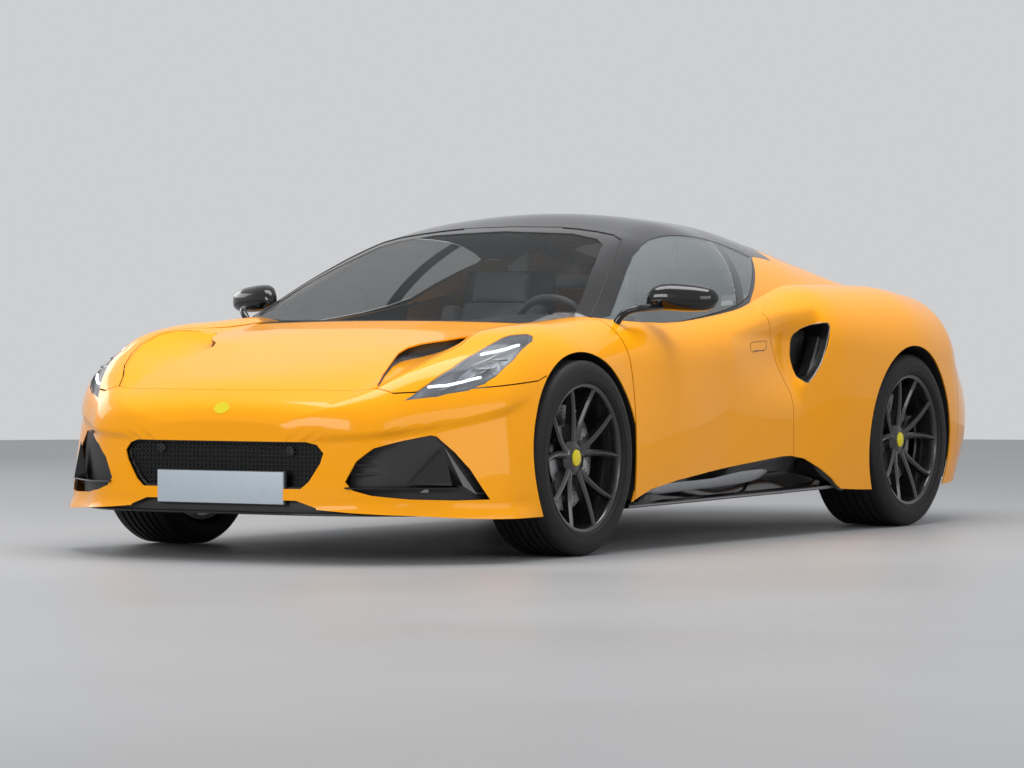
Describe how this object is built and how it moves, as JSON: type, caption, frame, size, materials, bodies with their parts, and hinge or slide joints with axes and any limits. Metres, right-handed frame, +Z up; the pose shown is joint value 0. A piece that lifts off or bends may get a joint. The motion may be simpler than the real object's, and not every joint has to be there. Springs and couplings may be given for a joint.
{
  "type": "coupe car",
  "caption": "Two-seat mid-engined coupe with opening doors, hood and tailgate, steered front wheels and free-rolling wheels, in amber with a black roof.",
  "frame": {"origin": "on the ground, midway along the length and on the centre plane", "axes": "+X forward to the nose, +Y to the car's left, +Z up"},
  "size_m": [4.413, 2.092, 1.2258],
  "materials": {
    "amber_paint": "gloss",
    "black_gloss": "gloss",
    "glass": "tinted",
    "black_plastic": "satin",
    "lamp": "clear",
    "red_lamp": "gloss",
    "plate": "satin",
    "steel": "satin",
    "aluminium": "satin",
    "seat_fabric": "woven",
    "wheel_black": "gloss",
    "tyre": "matte"
  },
  "bodies": {
    "body": {"front_bumper": "amber_paint", "rear_bumper": "amber_paint", "fender_left": "amber_paint", "fender_right": "amber_paint", "quarter_left": "amber_paint", "quarter_right": "amber_paint", "roof": "black_gloss", "windscreen": "glass", "quarter_windows": "glass", "scuttle": "black_plastic", "headlamps": "lamp", "tail_lamps": "red_lamp", "grilles": "black_plastic", "number_plate": "plate", "front_splitter": "black_plastic", "side_skirts": "black_plastic", "diffuser": "black_plastic", "arch_liners": "black_plastic", "front_suspension": "steel", "rear_suspension": "steel", "engine": "aluminium", "dashboard": "black_plastic", "console": "black_plastic", "seats": "seat_fabric", "tub": "aluminium"},
    "door_left_body": {"door_left": "amber_paint", "door_glass_left": "glass", "mirror_left": "black_gloss"},
    "door_right_body": {"door_right": "amber_paint", "door_glass_right": "glass", "mirror_right": "black_gloss"},
    "hood_body": {"hood": "amber_paint"},
    "tailgate_body": {"tailgate": "black_gloss", "rear_window": "glass"},
    "knuckle_left_body": {"knuckle_left": "steel"},
    "knuckle_right_body": {"knuckle_right": "steel"},
    "wheel_front_left": {"rim_front_left": "wheel_black", "tyre_front_left": "tyre"},
    "wheel_front_right": {"rim_front_right": "wheel_black", "tyre_front_right": "tyre"},
    "wheel_rear_left": {"rim_rear_left": "wheel_black", "tyre_rear_left": "tyre"},
    "wheel_rear_right": {"rim_rear_right": "wheel_black", "tyre_rear_right": "tyre"},
    "steering_wheel_body": {"steering_wheel": "black_plastic"}
  },
  "joints": [
    {"name": "door_left_hinge", "type": "hinge", "parent": "body", "child": "door_left_body", "pos_m": [0.85, 0.8635, 0.5], "axis": [0, 0, -1], "range_deg": [0, 62]},
    {"name": "door_right_hinge", "type": "hinge", "parent": "body", "child": "door_right_body", "pos_m": [0.85, -0.8635, 0.5], "axis": [0, 0, 1], "range_deg": [0, 62]},
    {"name": "hood_hinge", "type": "hinge", "parent": "body", "child": "hood_body", "pos_m": [1.164, 0, 0.78734], "axis": [0, -1, 0], "range_deg": [0, 48]},
    {"name": "tailgate_hinge", "type": "hinge", "parent": "body", "child": "tailgate_body", "pos_m": [-0.779, 0, 1.14259], "axis": [0, 1, 0], "range_deg": [0, 55]},
    {"name": "steer_left", "type": "hinge", "parent": "body", "child": "knuckle_left_body", "pos_m": [1.3065, 0.72, 0.34], "axis": [0, 0, 1], "range_deg": [-32, 32]},
    {"name": "steer_right", "type": "hinge", "parent": "body", "child": "knuckle_right_body", "pos_m": [1.3065, -0.72, 0.34], "axis": [0, 0, 1], "range_deg": [-32, 32]},
    {"name": "spin_front_left", "type": "hinge", "parent": "knuckle_left_body", "child": "wheel_front_left", "pos_m": [1.3065, 0.803, 0.34], "axis": [0, 1, 0], "continuous": true},
    {"name": "spin_front_right", "type": "hinge", "parent": "knuckle_right_body", "child": "wheel_front_right", "pos_m": [1.3065, -0.803, 0.34], "axis": [0, 1, 0], "continuous": true},
    {"name": "spin_rear_left", "type": "hinge", "parent": "body", "child": "wheel_rear_left", "pos_m": [-1.2685, 0.788, 0.343], "axis": [0, 1, 0], "continuous": true},
    {"name": "spin_rear_right", "type": "hinge", "parent": "body", "child": "wheel_rear_right", "pos_m": [-1.2685, -0.788, 0.343], "axis": [0, 1, 0], "continuous": true},
    {"name": "steering_wheel_turn", "type": "hinge", "parent": "body", "child": "steering_wheel_body", "pos_m": [0.62, 0.37, 0.72], "axis": [-0.9662, 0, 0.2577], "range_deg": [-450, 450]}
  ],
  "couplings": [
    {"joint": "steer_right", "follows": "steer_left", "ratio": 1}
  ]
}
